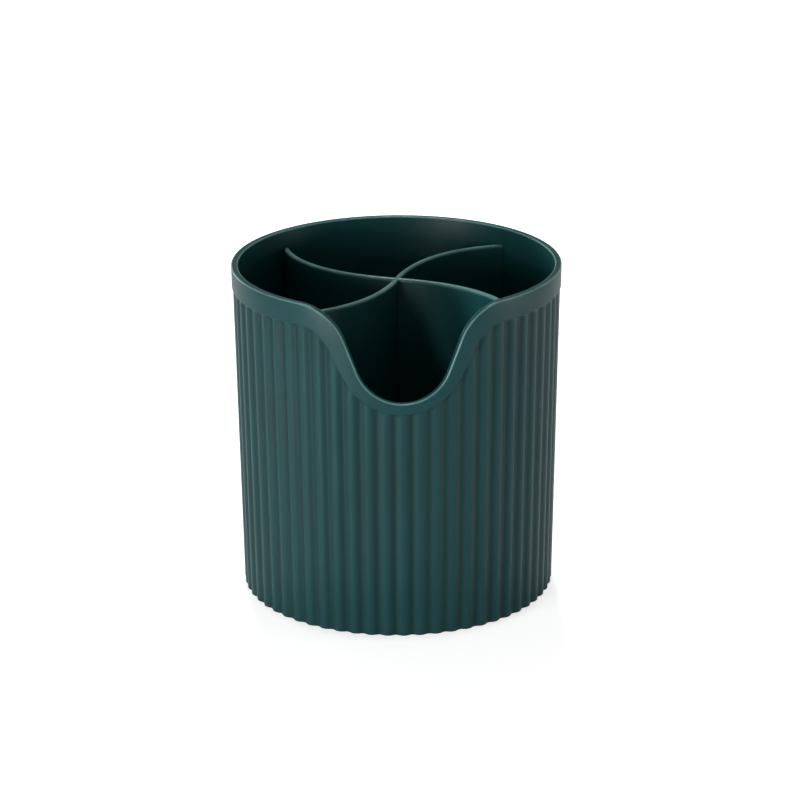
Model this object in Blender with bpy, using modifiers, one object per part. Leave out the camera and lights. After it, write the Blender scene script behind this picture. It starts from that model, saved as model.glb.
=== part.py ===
"""Makeup brush holder: a fluted cup with a scooped front and a curved four-way divider.

The cup turns on a ring of steel balls over a low base that stands inside its skirt.
Everything is in metres, +Z up, with the origin under the middle of the base and the
scoop facing -Y.
"""

import math

import bmesh
import bpy
from mathutils import Matrix, Vector

# Whole holder
HOLDER_HEIGHT = 0.1250
RIM_RADIUS = 0.0600
SKIRT_LIFT = 0.0020
TOUCH_GAP = 0.0003
OVERRUN = 0.0020
MERGE_DISTANCE = 0.000001

# Cup wall
FOOT_RADIUS = 0.05764
RIM_WALL = 0.0025
EDGE_RADIUS = 0.0009
EDGE_WALL_SHARE = 0.45
FOOT_CHAMFER = 0.0004
FLUTES = 60
COLUMNS_PER_FLUTE = 4
FLUTE_DEPTH = 0.0007
FLUTE_RUN_OUT = 0.0012
BAND_PROUD = 0.00035
BAND_HEIGHT = 0.0080
BAND_UNDER_SCOOP = 0.0039

# Scoop in the front of the rim, drawn on the unrolled wall
SCOOP_DEPTH = 0.0340
SCOOP_BOTTOM_RADIUS = 0.0168
SCOOP_SHOULDER_RADIUS = 0.0180
SCOOP_SLOPE = math.radians(68.8)
SCOOP_STEPS = 24

# Cup floor
FLOOR_THICKNESS = 0.0024
FLOOR_COVE = 0.0020
FLOOR_STEPS = 48
KEY_RADIUS = 0.0090
KEY_WALL = 0.0020
KEY_HEIGHT = 0.0040
KEY_SINK = 0.0004

# Divider
DIVIDER_BELOW_RIM = 0.0065
VANE_THICKNESS = 0.0022
VANE_EDGE = 0.0008
VANE_START = math.radians(73.5)
VANE_SWEEP = math.radians(29.3)
VANE_EVEN_SHARE = 0.6
VANE_STEPS = 10
VANE_SIDE_GAP = 0.0003
ENVELOPE_STEPS = 96

# Ball bearing
BALLS = 12
BALL_RADIUS = 0.0025
BALL_SEGMENTS = 12
BALL_RINGS = 8
BEARING_RADIUS = 0.0360
RACE_LAND = 0.0019
RACE_DEPTH = 0.0010
RACE_WEB = 0.0012
RACE_STEPS = 4
CAGE_WALL = 0.0018
CAGE_FACE_GAP = 0.0006
CAGE_STEPS = 48
POCKET_STEPS = 16

# Base
FEET = 4
FOOT_PAD_RADIUS = 0.0070
FOOT_PAD_THICKNESS = 0.0020
FOOT_PAD_CHAMFER = 0.0003
FOOT_PAD_POCKET = 0.0008
FOOT_PAD_MARGIN = 0.0022
FOOT_PAD_STEPS = 24
BASE_RIM_GAP = 0.0021
BASE_PLATE = 0.0028
BASE_RIM_WALL = 0.0020
BASE_RIM_HEADROOM = 0.0031
BASE_CHAMFER = 0.0005
BASE_RECESS = 0.0005
BASE_STEPS = 48
RIBS = 6
RIB_THICKNESS = 0.0016
RIB_BELOW_RACE = 0.0003
RIB_BITE = 0.0010

# Pivot at the middle of the base
SCREW_RADIUS = 0.0015
SCREW_HEAD_OVERLAP = 0.0025
SCREW_HEAD_HEIGHT = 0.0016
SCREW_CROWN = 0.0005
SCREW_POINT = 0.0010
SCREW_STEPS = 20
DRIVE_MARGIN = 0.0018
DRIVE_WIDTH = 0.0009
DRIVE_DEPTH = 0.0010
PILOT_ROOF = 0.0014
SPIGOT_WALL = 0.0024
SHOULDER_WIDTH = 0.0038
SHOULDER_DROP = 0.0031
HUB_WEB = 0.0025
HUB_WALL = 0.0040
WASHER_OVERLAP = 0.0017
WASHER_THICKNESS = 0.0008
WASHER_SIDE_GAP = 0.0006
WASHER_STEPS = 32

# Heights worked out from the table upwards
BASE_BOTTOM = FOOT_PAD_THICKNESS + TOUCH_GAP - FOOT_PAD_POCKET
PLATE_TOP = BASE_BOTTOM + BASE_PLATE
LOWER_RACE_FLOOR = PLATE_TOP + TOUCH_GAP
LOWER_RACE_TOP = LOWER_RACE_FLOOR + RACE_DEPTH
BALL_HEIGHT = LOWER_RACE_FLOOR + TOUCH_GAP + BALL_RADIUS
UPPER_RACE_ROOF = BALL_HEIGHT + BALL_RADIUS + TOUCH_GAP
UPPER_RACE_BOTTOM = UPPER_RACE_ROOF - RACE_DEPTH
FLOOR_BOTTOM = UPPER_RACE_ROOF + RACE_WEB
FLOOR_TOP = FLOOR_BOTTOM + FLOOR_THICKNESS
SHOULDER_HEIGHT = FLOOR_BOTTOM - SHOULDER_DROP
HUB_TOP = SHOULDER_HEIGHT - TOUCH_GAP
HUB_WEB_BOTTOM = HUB_TOP - HUB_WEB
SPIGOT_END = HUB_WEB_BOTTOM - TOUCH_GAP
WASHER_TOP = SPIGOT_END - TOUCH_GAP
SCREW_HEAD_TOP = WASHER_TOP - WASHER_THICKNESS - TOUCH_GAP
PILOT_TOP = FLOOR_TOP - PILOT_ROOF
SCREW_TIP = PILOT_TOP - TOUCH_GAP
DIVIDER_BOTTOM = FLOOR_TOP + TOUCH_GAP
DIVIDER_TOP = HOLDER_HEIGHT - DIVIDER_BELOW_RIM

# Radii worked out from the wall and the pivot
WALL_TAPER = (RIM_RADIUS - BAND_PROUD - FOOT_RADIUS) / (HOLDER_HEIGHT - SKIRT_LIFT)
INNER_RIM_RADIUS = RIM_RADIUS - RIM_WALL
THIN_WALL = RIM_WALL - BAND_PROUD - FLUTE_DEPTH
RIM_ROUND = min(EDGE_RADIUS, EDGE_WALL_SHARE * RIM_WALL)
PILOT_RADIUS = SCREW_RADIUS + TOUCH_GAP
SPIGOT_RADIUS = PILOT_RADIUS + SPIGOT_WALL
SHOULDER_RADIUS = SPIGOT_RADIUS + SHOULDER_WIDTH
HUB_HOLE_RADIUS = SPIGOT_RADIUS + TOUCH_GAP
WASHER_RADIUS = HUB_HOLE_RADIUS + WASHER_OVERLAP
WELL_RADIUS = WASHER_RADIUS + WASHER_SIDE_GAP
HUB_RADIUS = WELL_RADIUS + HUB_WALL
SCREW_HEAD_RADIUS = SCREW_RADIUS + SCREW_HEAD_OVERLAP
RACE_RADIUS = BALL_RADIUS + TOUCH_GAP
RACE_HALF_WIDTH = math.sqrt(RACE_RADIUS ** 2 - (RACE_RADIUS - RACE_DEPTH) ** 2) + RACE_LAND
RACE_INNER = BEARING_RADIUS - RACE_HALF_WIDTH
RACE_OUTER = BEARING_RADIUS + RACE_HALF_WIDTH
BASE_RADIUS = RIM_RADIUS - WALL_TAPER * (HOLDER_HEIGHT - SKIRT_LIFT) - RIM_WALL - BASE_RIM_GAP
BASE_LEDGE_RADIUS = BASE_RADIUS - 2 * (FOOT_PAD_RADIUS + TOUCH_GAP + FOOT_PAD_MARGIN)
FOOT_PAD_PLACE_RADIUS = (BASE_RADIUS + BASE_LEDGE_RADIUS) / 2

CUP_TEAL = (0.015, 0.058, 0.062, 1.0)
BASE_TEAL = (0.012, 0.046, 0.050, 1.0)
CAGE_GREY = (0.62, 0.62, 0.60, 1.0)
RUBBER_BLACK = (0.02, 0.02, 0.02, 1.0)
STEEL = (0.60, 0.60, 0.60, 1.0)
ZINC = (0.66, 0.66, 0.64, 1.0)


def outer_radius(height):
    """Radius of the smooth band's drafted surface at a height."""
    return RIM_RADIUS - WALL_TAPER * (HOLDER_HEIGHT - height)


def inner_radius(height):
    """Radius of the cup's inside at a height."""
    return outer_radius(height) - RIM_WALL


# Scene and materials

def clear_scene():
    for old in list(bpy.data.objects):
        bpy.data.objects.remove(old, do_unlink=True)


def new_collection(name):
    group = bpy.data.collections.new(name)
    bpy.context.scene.collection.children.link(group)
    return group


def new_material(name, colour, roughness, metallic=0.0):
    material = bpy.data.materials.new(name)
    material.use_nodes = True
    shader = material.node_tree.nodes["Principled BSDF"]
    shader.inputs["Base Color"].default_value = colour
    shader.inputs["Roughness"].default_value = roughness
    shader.inputs["Metallic"].default_value = metallic
    material.diffuse_color = colour
    return material


def new_object(name, mesh, group):
    made = bpy.data.objects.new(name, mesh)
    group.objects.link(made)
    return made


def mesh_from(bm, name):
    mesh = bpy.data.meshes.new(name)
    bm.to_mesh(mesh)
    bm.free()
    return mesh


def set_aside(cutter):
    """Mark an object as one that only cuts or joins another."""
    cutter.hide_render = True
    cutter.display_type = 'WIRE'
    return cutter


# Modelling helpers

def arc(centre, radius, start, stop, steps):
    """Points (radius, height) along an arc whose angles are counted from +X."""
    turns = [start + (stop - start) * step / steps for step in range(steps + 1)]
    return [(centre[0] + radius * math.cos(turn), centre[1] + radius * math.sin(turn))
            for turn in turns]


def turned(name, outline, steps, group, ring=False):
    """Turn an outline of (radius, height) points round Z. A ring's outline is closed."""
    bm = bmesh.new()
    points = [bm.verts.new((radius, 0, height)) for radius, height in outline]
    for first, second in zip(points, points[1:]):
        bm.edges.new((first, second))
    if ring:
        bm.edges.new((points[-1], points[0]))
    made = new_object(name, mesh_from(bm, name), group)
    screw = made.modifiers.new("turn", 'SCREW')
    screw.steps = steps
    screw.render_steps = steps
    screw.use_merge_vertices = True
    screw.merge_threshold = MERGE_DISTANCE
    return made


def box(name, size, centre, group, turn=0.0):
    bm = bmesh.new()
    bmesh.ops.create_cube(bm, size=1.0)
    bmesh.ops.scale(bm, vec=size, verts=bm.verts)
    bmesh.ops.translate(bm, vec=centre, verts=bm.verts)
    bmesh.ops.rotate(bm, matrix=Matrix.Rotation(turn, 3, 'Z'), verts=bm.verts)
    return new_object(name, mesh_from(bm, name), group)


def drum(name, radius, bottom, top, place, steps, group):
    """A plain upright cylinder, closed at both ends."""
    bm = bmesh.new()
    bmesh.ops.create_cone(bm, cap_ends=True, segments=steps, radius1=radius,
                          radius2=radius, depth=top - bottom)
    bmesh.ops.translate(bm, vec=(place[0], place[1], (top + bottom) / 2), verts=bm.verts)
    return new_object(name, mesh_from(bm, name), group)


def combine(target, other, operation):
    step = target.modifiers.new(other.name, 'BOOLEAN')
    step.operation = operation
    step.solver = 'EXACT'
    step.object = other
    set_aside(other)


def finish(made, material, group, sharp_angle=math.radians(35)):
    """Keep the evaluated shape as the object's own mesh, shade it and give it its material."""
    bpy.context.view_layer.update()
    graph = bpy.context.evaluated_depsgraph_get()
    mesh = bpy.data.meshes.new_from_object(made.evaluated_get(graph))
    made.modifiers.clear()
    made.data = mesh
    mesh.name = made.name
    mesh.materials.clear()
    mesh.materials.append(material)
    mesh.shade_smooth()
    mesh.set_sharp_from_angle(angle=sharp_angle)
    if made.name not in group.objects:
        group.objects.link(made)
    return made


# Cup wall

def scoop_path():
    """Half the scoop's edge on the unrolled wall, as (across, height, lean) points."""
    bottom = HOLDER_HEIGHT - SCOOP_DEPTH
    path = []
    for step in range(SCOOP_STEPS + 1):
        lean = SCOOP_SLOPE * step / SCOOP_STEPS
        path.append((SCOOP_BOTTOM_RADIUS * math.sin(lean),
                     bottom + SCOOP_BOTTOM_RADIUS * (1 - math.cos(lean)), lean))
    flank_start, flank_foot, _ = path[-1]
    shoulder_foot = HOLDER_HEIGHT - SCOOP_SHOULDER_RADIUS * (1 - math.cos(SCOOP_SLOPE))
    flank_end = flank_start + (shoulder_foot - flank_foot) / math.tan(SCOOP_SLOPE)
    for step in range(SCOOP_STEPS + 1):
        lean = SCOOP_SLOPE * (1 - step / SCOOP_STEPS)
        across = flank_end + SCOOP_SHOULDER_RADIUS * (math.sin(SCOOP_SLOPE) - math.sin(lean))
        height = shoulder_foot + SCOOP_SHOULDER_RADIUS * (math.cos(lean) - math.cos(SCOOP_SLOPE))
        path.append((across, height, lean))
    return path


def band_path():
    """Half the band's lower edge, set off the scoop's edge by the band's own width there."""
    bottom = HOLDER_HEIGHT - SCOOP_DEPTH
    path = []
    for across, height, lean in scoop_path():
        share = (height - bottom) / SCOOP_DEPTH
        width = BAND_UNDER_SCOOP + (BAND_HEIGHT - BAND_UNDER_SCOOP) * share
        path.append((across + width * math.sin(lean), height - width * math.cos(lean), lean))
    return path


def along(path, across):
    """Height and lean of a path at a distance across from the middle of the scoop."""
    for near, far in zip(path, path[1:]):
        if across < far[0]:
            share = (across - near[0]) / (far[0] - near[0])
            return (near[1] + (far[1] - near[1]) * share, near[2] + (far[2] - near[2]) * share)
    return path[-1][1], path[-1][2]


def groove(angle):
    """How far into its valley the flute pattern is at an angle: 0 on a crest, 1 in a valley."""
    phase = (angle * FLUTES / (2 * math.pi)) % 1
    return (2 * min(phase, 1 - phase)) ** 2


def wall_section(angle, rim_line, band_line):
    """The wall's section at an angle from the front, as a loop of (radius, height) points."""
    across = abs(math.remainder(angle, 2 * math.pi)) * INNER_RIM_RADIUS
    rim, lean = along(rim_line, across)
    band_foot, _ = along(band_line, across)
    flute_top = band_foot - FLUTE_RUN_OUT
    foot_top = SKIRT_LIFT + FOOT_CHAMFER
    sunk = BAND_PROUD + FLUTE_DEPTH * groove(angle)
    roll = RIM_ROUND * (1 - math.cos(math.pi / 4))
    roll_foot = rim - RIM_ROUND / math.cos(lean)
    roll_middle = rim - roll / math.cos(lean)
    return [
        (inner_radius(SKIRT_LIFT), SKIRT_LIFT),
        (inner_radius(roll_foot), roll_foot),
        (inner_radius(roll_middle) + roll, roll_middle),
        (inner_radius(rim) + RIM_ROUND, rim),
        (outer_radius(rim) - RIM_ROUND, rim),
        (outer_radius(roll_middle) - roll, roll_middle),
        (outer_radius(roll_foot), roll_foot),
        (outer_radius(band_foot), band_foot),
        (outer_radius(flute_top) - sunk, flute_top),
        (outer_radius(foot_top) - sunk, foot_top),
        (outer_radius(SKIRT_LIFT) - sunk - FOOT_CHAMFER, SKIRT_LIFT),
    ]


def cup_wall(group):
    """Spin one section round Z, then bring each point to its own angle's section."""
    rim_line = scoop_path()
    band_line = band_path()
    bm = bmesh.new()
    row = bm.verts.layers.int.new("row")
    loop = []
    for number, (radius, height) in enumerate(wall_section(math.pi, rim_line, band_line)):
        point = bm.verts.new((0, -radius, height))
        point[row] = number
        loop.append(point)
    edges = [bm.edges.new(pair) for pair in zip(loop, loop[1:] + loop[:1])]
    bmesh.ops.spin(bm, geom=loop + edges, axis=(0, 0, 1), cent=(0, 0, 0), angle=2 * math.pi,
                   steps=FLUTES * COLUMNS_PER_FLUTE, use_merge=True)
    for point in bm.verts:
        angle = math.atan2(point.co.x, -point.co.y)
        radius, height = wall_section(angle, rim_line, band_line)[point[row]]
        point.co = Vector((radius * math.sin(angle), -radius * math.cos(angle), height))
    bmesh.ops.recalc_face_normals(bm, faces=bm.faces)
    return new_object("cup_shell", mesh_from(bm, "cup_shell"), group)


# Cup floor, with the upper race and the pivot under it and the divider's key ring on it

def cup_floor(group):
    wall = inner_radius(FLOOR_TOP)
    bite = THIN_WALL / 2
    outline = [
        (0, FLOOR_TOP),
        (KEY_RADIUS - KEY_WALL, FLOOR_TOP),
        (KEY_RADIUS - KEY_WALL, FLOOR_TOP + KEY_HEIGHT),
        (KEY_RADIUS, FLOOR_TOP + KEY_HEIGHT),
        (KEY_RADIUS, FLOOR_TOP),
        (wall - FLOOR_COVE, FLOOR_TOP),
        (wall + bite, FLOOR_TOP + FLOOR_COVE + bite),
        (wall + bite, FLOOR_BOTTOM),
        (RACE_OUTER, FLOOR_BOTTOM),
        (RACE_OUTER, UPPER_RACE_BOTTOM),
    ]
    outline += race_groove(UPPER_RACE_BOTTOM, from_above=True)
    outline += [
        (RACE_INNER, UPPER_RACE_BOTTOM),
        (RACE_INNER, FLOOR_BOTTOM),
        (SHOULDER_RADIUS, FLOOR_BOTTOM),
        (SHOULDER_RADIUS, SHOULDER_HEIGHT),
        (SPIGOT_RADIUS, SHOULDER_HEIGHT),
        (SPIGOT_RADIUS, SPIGOT_END),
        (PILOT_RADIUS, SPIGOT_END),
        (PILOT_RADIUS, PILOT_TOP),
        (0, PILOT_TOP),
    ]
    return turned("cup_floor", outline, FLOOR_STEPS, group)


def race_groove(face, from_above):
    """The ball track's section, concentric with the balls: inwards above, outwards below."""
    dip = math.asin((face - BALL_HEIGHT) / RACE_RADIUS)
    centre = (BEARING_RADIUS, BALL_HEIGHT)
    if from_above:
        return arc(centre, RACE_RADIUS, dip, math.pi - dip, RACE_STEPS)
    return arc(centre, RACE_RADIUS, math.pi - dip, 2 * math.pi + dip, RACE_STEPS)


def cup_shell(parts, cutters, material):
    shell = cup_wall(parts)
    combine(shell, cup_floor(cutters), 'UNION')
    for number, turn in enumerate((0, math.pi / 2)):
        slot = blade("key_slot_%d" % (number + 1), turn, KEY_RADIUS + OVERRUN,
                     FLOOR_TOP - KEY_SINK, FLOOR_TOP + KEY_HEIGHT + OVERRUN,
                     VANE_THICKNESS + 2 * VANE_SIDE_GAP, cutters)
        combine(shell, slot, 'DIFFERENCE')
    return finish(shell, material, parts)


# Divider

def blade(name, turn, reach, bottom, top, thickness, group):
    """One upright S-shaped blade through the axis, reaching out equally on both sides."""
    bm = bmesh.new()
    line = []
    for step in range(-VANE_STEPS, VANE_STEPS + 1):
        out = reach * step / VANE_STEPS
        share = abs(out) / INNER_RIM_RADIUS
        sweep = VANE_SWEEP * (VANE_EVEN_SHARE * share + (1 - VANE_EVEN_SHARE) * share ** 2)
        angle = turn + VANE_START - sweep
        line.append(bm.verts.new((out * math.cos(angle), out * math.sin(angle), bottom)))
    edges = [bm.edges.new(pair) for pair in zip(line, line[1:])]
    raised = bmesh.ops.extrude_edge_only(bm, edges=edges)["geom"]
    lifted = [item for item in raised if isinstance(item, bmesh.types.BMVert)]
    bmesh.ops.translate(bm, vec=(0, 0, top - bottom), verts=lifted)
    made = new_object(name, mesh_from(bm, name), group)
    wall = made.modifiers.new("thickness", 'SOLIDIFY')
    wall.thickness = thickness
    wall.offset = 0
    wall.use_even_offset = True
    return made


def divider_insert(parts, cutters, material):
    """Two crossing blades, trimmed to follow the cup's inside."""
    reach = INNER_RIM_RADIUS + OVERRUN
    pair = []
    for name, turn, group in (("divider_insert", 0, parts), ("cross_blade", math.pi / 2, cutters)):
        made = blade(name, turn, reach, DIVIDER_BOTTOM, DIVIDER_TOP, VANE_THICKNESS, group)
        rounding = made.modifiers.new("edge", 'BEVEL')
        rounding.width = VANE_EDGE
        rounding.segments = 2
        rounding.limit_method = 'ANGLE'
        rounding.angle_limit = math.radians(60)
        pair.append(made)
    combine(pair[0], pair[1], 'UNION')
    foot = FLOOR_TOP + FLOOR_COVE
    room = turned("cup_room", [
        (0, DIVIDER_TOP + OVERRUN),
        (inner_radius(DIVIDER_TOP + OVERRUN) - VANE_SIDE_GAP, DIVIDER_TOP + OVERRUN),
        (inner_radius(foot) - VANE_SIDE_GAP, foot),
        (inner_radius(foot) - VANE_SIDE_GAP - FLOOR_COVE - OVERRUN, foot - FLOOR_COVE - OVERRUN),
        (0, foot - FLOOR_COVE - OVERRUN),
    ], ENVELOPE_STEPS, cutters)
    combine(pair[0], room, 'INTERSECT')
    return finish(pair[0], material, parts)


# Base

def foot_places():
    """Centres of the foot pads, on the diagonals."""
    turns = [math.pi / FEET + 2 * math.pi * number / FEET for number in range(FEET)]
    return [(FOOT_PAD_PLACE_RADIUS * math.cos(turn), FOOT_PAD_PLACE_RADIUS * math.sin(turn))
            for turn in turns]


def base_disc(parts, cutters, material):
    rim_inner = BASE_RADIUS - BASE_RIM_WALL
    rim_top = FLOOR_BOTTOM - BASE_RIM_HEADROOM
    roof = BASE_BOTTOM + BASE_RECESS
    outline = [
        (HUB_HOLE_RADIUS, HUB_TOP),
        (HUB_RADIUS, HUB_TOP),
        (HUB_RADIUS, PLATE_TOP),
        (RACE_INNER, PLATE_TOP),
        (RACE_INNER, LOWER_RACE_TOP),
    ]
    outline += race_groove(LOWER_RACE_TOP, from_above=False)
    outline += [
        (RACE_OUTER, LOWER_RACE_TOP),
        (RACE_OUTER, PLATE_TOP),
        (rim_inner, PLATE_TOP),
        (rim_inner, rim_top),
        (BASE_RADIUS, rim_top),
        (BASE_RADIUS, BASE_BOTTOM + BASE_CHAMFER),
        (BASE_RADIUS - BASE_CHAMFER, BASE_BOTTOM),
        (BASE_LEDGE_RADIUS, BASE_BOTTOM),
        (BASE_LEDGE_RADIUS, roof),
        (WELL_RADIUS, roof),
        (WELL_RADIUS, HUB_WEB_BOTTOM),
        (HUB_HOLE_RADIUS, HUB_WEB_BOTTOM),
    ]
    disc = turned("base_disc", outline, BASE_STEPS, parts, ring=True)
    rib_start = HUB_RADIUS - RIB_BITE
    rib_end = RACE_INNER + RIB_BITE
    rib_foot = PLATE_TOP - RIB_BITE
    rib_top = LOWER_RACE_TOP - RIB_BELOW_RACE
    for number in range(RIBS):
        rib = box("rib_%d" % (number + 1),
                  (rib_end - rib_start, RIB_THICKNESS, rib_top - rib_foot),
                  ((rib_end + rib_start) / 2, 0, (rib_top + rib_foot) / 2),
                  cutters, 2 * math.pi * (number + 0.5) / RIBS)
        combine(disc, rib, 'UNION')
    for number, place in enumerate(foot_places()):
        pocket = drum("foot_pocket_%d" % (number + 1), FOOT_PAD_RADIUS + TOUCH_GAP,
                      BASE_BOTTOM - OVERRUN, BASE_BOTTOM + FOOT_PAD_POCKET, place,
                      FOOT_PAD_STEPS, cutters)
        combine(disc, pocket, 'DIFFERENCE')
    return finish(disc, material, parts)


def foot_pads(parts, material):
    pads = []
    for number, (across, deep) in enumerate(foot_places()):
        pad = turned("foot_pad_%d" % (number + 1), [
            (0, FOOT_PAD_THICKNESS),
            (FOOT_PAD_RADIUS - FOOT_PAD_CHAMFER, FOOT_PAD_THICKNESS),
            (FOOT_PAD_RADIUS, FOOT_PAD_THICKNESS - FOOT_PAD_CHAMFER),
            (FOOT_PAD_RADIUS, FOOT_PAD_CHAMFER),
            (FOOT_PAD_RADIUS - FOOT_PAD_CHAMFER, 0),
            (0, 0),
        ], FOOT_PAD_STEPS, parts)
        pad.location = (across, deep, 0)
        pads.append(finish(pad, material, parts))
    return pads


# Ball bearing

def ball_places():
    turns = [2 * math.pi * number / BALLS for number in range(BALLS)]
    return [(BEARING_RADIUS * math.cos(turn), BEARING_RADIUS * math.sin(turn)) for turn in turns]


def ball_cage(parts, cutters, material):
    half_width = BALL_RADIUS + TOUCH_GAP + CAGE_WALL
    inner = BEARING_RADIUS - half_width
    outer = BEARING_RADIUS + half_width
    bottom = LOWER_RACE_TOP + CAGE_FACE_GAP
    top = UPPER_RACE_BOTTOM - CAGE_FACE_GAP
    cage = turned("ball_cage", [(inner, top), (outer, top), (outer, bottom), (inner, bottom)],
                  CAGE_STEPS, parts, ring=True)
    for number, place in enumerate(ball_places()):
        pocket = drum("ball_pocket_%02d" % (number + 1), BALL_RADIUS + TOUCH_GAP,
                      bottom - OVERRUN, top + OVERRUN, place, POCKET_STEPS, cutters)
        combine(cage, pocket, 'DIFFERENCE')
    return finish(cage, material, parts)


def bearing_balls(parts, material):
    bm = bmesh.new()
    bmesh.ops.create_uvsphere(bm, u_segments=BALL_SEGMENTS, v_segments=BALL_RINGS,
                              radius=BALL_RADIUS)
    mesh = mesh_from(bm, "bearing_ball")
    mesh.materials.append(material)
    mesh.shade_smooth()
    balls = []
    for number, (across, deep) in enumerate(ball_places()):
        ball = new_object("bearing_ball_%02d" % (number + 1), mesh, parts)
        ball.location = (across, deep, BALL_HEIGHT)
        balls.append(ball)
    return balls


# Pivot fastening

def thrust_washer(parts, material):
    hole = SCREW_RADIUS + TOUCH_GAP
    bottom = WASHER_TOP - WASHER_THICKNESS
    washer = turned("thrust_washer", [
        (hole, WASHER_TOP),
        (WASHER_RADIUS, WASHER_TOP),
        (WASHER_RADIUS, bottom),
        (hole, bottom),
    ], WASHER_STEPS, parts, ring=True)
    return finish(washer, material, parts)


def pivot_screw(parts, cutters, material):
    """A pan-head screw, driven upwards into the cup's spigot."""
    head_bottom = SCREW_HEAD_TOP - SCREW_HEAD_HEIGHT
    screw = turned("pivot_screw", [
        (0, SCREW_TIP),
        (SCREW_RADIUS / 2, SCREW_TIP),
        (SCREW_RADIUS, SCREW_TIP - SCREW_POINT),
        (SCREW_RADIUS, SCREW_HEAD_TOP),
        (SCREW_HEAD_RADIUS, SCREW_HEAD_TOP),
        (SCREW_HEAD_RADIUS, head_bottom + SCREW_CROWN),
        (SCREW_HEAD_RADIUS - SCREW_CROWN, head_bottom),
        (0, head_bottom),
    ], SCREW_STEPS, parts)
    drive_length = 2 * (SCREW_HEAD_RADIUS - DRIVE_MARGIN)
    for number, turn in enumerate((0, math.pi / 2)):
        slot = box("drive_slot_%d" % (number + 1),
                   (drive_length, DRIVE_WIDTH, DRIVE_DEPTH + OVERRUN),
                   (0, 0, head_bottom + (DRIVE_DEPTH - OVERRUN) / 2), cutters, turn)
        combine(screw, slot, 'DIFFERENCE')
    return finish(screw, material, parts)


def main():
    clear_scene()
    parts = new_collection("brush_holder")
    cutters = new_collection("brush_holder_cutters")
    cup_plastic = new_material("cup_plastic", CUP_TEAL, 0.38)
    divider_plastic = new_material("divider_plastic", CUP_TEAL, 0.38)
    base_plastic = new_material("base_plastic", BASE_TEAL, 0.5)
    cage_plastic = new_material("cage_plastic", CAGE_GREY, 0.45)
    pad_rubber = new_material("pad_rubber", RUBBER_BLACK, 0.8)
    ball_steel = new_material("ball_steel", STEEL, 0.12, 1.0)
    washer_steel = new_material("washer_steel", ZINC, 0.35, 1.0)
    screw_steel = new_material("screw_steel", ZINC, 0.3, 1.0)
    cup_shell(parts, cutters, cup_plastic)
    divider_insert(parts, cutters, divider_plastic)
    base_disc(parts, cutters, base_plastic)
    foot_pads(parts, pad_rubber)
    ball_cage(parts, cutters, cage_plastic)
    bearing_balls(parts, ball_steel)
    thrust_washer(parts, washer_steel)
    pivot_screw(parts, cutters, screw_steel)


main()
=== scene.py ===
"""Looks of a turning brush holder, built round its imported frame.

A fluted cup with a scooped rim holds a curved four-way divider, and turns on a ball
bearing over a low base that stands inside its skirt. Lengths are in metres, +Z up, with
the origin on the table under the turning axis and the scoop facing -Y.
"""

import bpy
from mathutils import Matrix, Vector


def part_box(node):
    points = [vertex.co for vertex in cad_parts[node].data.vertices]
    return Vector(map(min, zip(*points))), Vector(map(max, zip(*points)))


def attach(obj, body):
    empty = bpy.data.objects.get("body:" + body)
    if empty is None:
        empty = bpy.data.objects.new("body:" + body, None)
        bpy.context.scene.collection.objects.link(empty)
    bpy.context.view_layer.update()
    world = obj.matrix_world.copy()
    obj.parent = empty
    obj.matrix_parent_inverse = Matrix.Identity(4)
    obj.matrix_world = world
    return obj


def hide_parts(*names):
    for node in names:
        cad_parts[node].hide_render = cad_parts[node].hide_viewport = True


bl_info = {
    "name": "Turning brush holder",
    "version": (1, 0, 0),
    "blender": (4, 5, 0),
    "location": "3D View > Sidebar > Brush holder",
    "description": "Builds a fluted brush holder on its ball bearing base, with finishes and studio",
    "category": "Add Mesh",
}

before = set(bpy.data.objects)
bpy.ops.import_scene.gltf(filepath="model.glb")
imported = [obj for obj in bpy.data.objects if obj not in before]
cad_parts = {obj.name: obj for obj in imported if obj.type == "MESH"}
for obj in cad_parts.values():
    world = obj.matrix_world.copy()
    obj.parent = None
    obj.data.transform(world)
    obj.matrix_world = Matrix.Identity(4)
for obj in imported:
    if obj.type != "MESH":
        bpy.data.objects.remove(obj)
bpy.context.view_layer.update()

import bisect
import math

import bmesh
import bpy
from bpy.props import FloatProperty, FloatVectorProperty, IntProperty, PointerProperty
from bpy.types import Operator, Panel, PropertyGroup
from mathutils import Matrix, Vector

# Boxes of the frame's nodes, as lowest and highest corners
CUP_LOW, CUP_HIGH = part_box("cup_shell")
DIVIDER_LOW, DIVIDER_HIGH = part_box("divider_insert")
BASE_LOW, BASE_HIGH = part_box("base_disc")
PAD_LOW, PAD_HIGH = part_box("foot_pad_1")
CAGE_LOW, CAGE_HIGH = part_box("ball_cage")
BALL_LOW, BALL_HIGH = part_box("bearing_ball_01")
WASHER_LOW, WASHER_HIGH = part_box("thrust_washer")
SCREW_LOW, SCREW_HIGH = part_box("pivot_screw")
FEET = sorted(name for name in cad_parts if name.startswith("foot_pad"))
BALLS = sorted(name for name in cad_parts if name.startswith("bearing_ball"))

# Clearances and sizes that the frame's pieces share
TOUCH_GAP = 0.0003
OVERRUN = 0.0020
# Depth below the blades' tops over which their painted highlight fades in
TOP_HIGHLIGHT_DEPTH = 0.0014
MERGE_DISTANCE = 0.000001
UP = Vector((0, 0, 1))
ORIGIN = Vector((0, 0, 0))

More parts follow.
